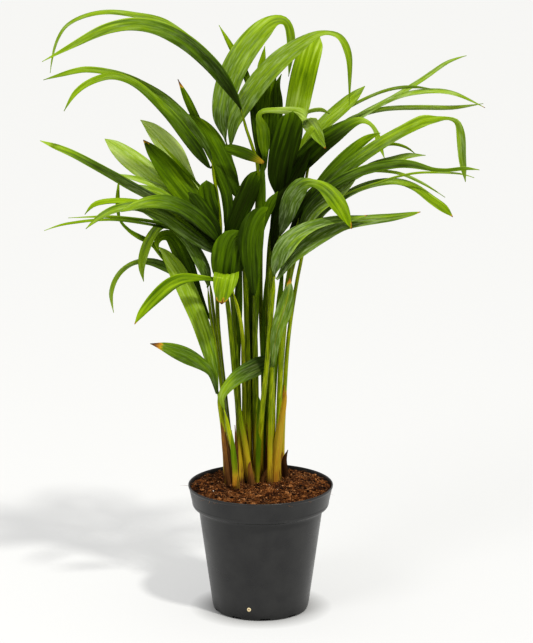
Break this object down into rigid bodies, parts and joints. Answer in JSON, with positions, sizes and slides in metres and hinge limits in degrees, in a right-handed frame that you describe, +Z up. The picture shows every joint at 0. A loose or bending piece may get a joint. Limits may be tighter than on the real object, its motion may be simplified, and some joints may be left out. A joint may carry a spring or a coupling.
{
  "type": "potted palm",
  "caption": "Young indoor palm with arching feather-like leaves, growing in a round plastic nursery pot with a deep plain collar.",
  "frame": {"origin": "centre of the pot's resting face, on the pot's axis", "axes": "+Z up along the pot's axis, -Y towards the viewer, +X to the viewer's right"},
  "size_m": [0.5127, 0.193, 0.7035],
  "materials": {
    "leaf": "living leaf, satin green with a waxy upper side",
    "stalk": "living stalk, smooth satin green to olive",
    "soil": "loose fibrous potting mix, matt brown",
    "pot": "satin dark grey moulded plastic"
  },
  "bodies": {
    "root": {"blade_arching_left": "leaf", "blade_blunt_left": "leaf", "blade_bright_left": "leaf", "blade_broad_front": "leaf", "blade_broad_left": "leaf", "blade_curled_centre": "leaf", "blade_cut_fold": "leaf", "blade_dark_centre": "leaf", "blade_dark_far_right": "leaf", "blade_dark_front": "leaf", "blade_dark_left": "leaf", "blade_dark_right": "leaf", "blade_far_right": "leaf", "blade_far_right_low": "leaf", "blade_fold_right": "leaf", "blade_folded_left": "leaf", "blade_front_curl": "leaf", "blade_front_low": "leaf", "blade_hanging_left": "leaf", "blade_kinked_right": "leaf", "blade_left_middle": "leaf", "blade_left_upper": "leaf", "blade_long_left": "leaf", "blade_long_pale": "leaf", "blade_low": "leaf", "blade_lower_left": "leaf", "blade_pale_back": "leaf", "blade_pale_left": "leaf", "blade_pleated_back": "leaf", "blade_right_front": "leaf", "blade_right_low": "leaf", "blade_right_upper": "leaf", "blade_round_centre": "leaf", "blade_spear": "leaf", "blade_tall_arch": "leaf", "blade_tall_right": "leaf", "blade_top_left": "leaf", "blade_top_left_back": "leaf", "blade_twisted_left": "leaf", "blade_upright_back": "leaf", "pot": "pot", "soil": "soil", "stalk_centre": "stalk", "stalk_centre_back": "stalk", "stalk_centre_left": "stalk", "stalk_front_curl": "stalk", "stalk_front_fold": "stalk", "stalk_front_low": "stalk", "stalk_left": "stalk", "stalk_left_back": "stalk", "stalk_left_front": "stalk", "stalk_left_thin": "stalk", "stalk_low_left": "stalk", "stalk_right": "stalk", "stalk_right_back": "stalk", "stalk_right_fold": "stalk", "stalk_right_front": "stalk", "stalk_spear": "stalk", "stalk_tall": "stalk", "stalk_top_left": "stalk"}
  },
  "joints": []
}
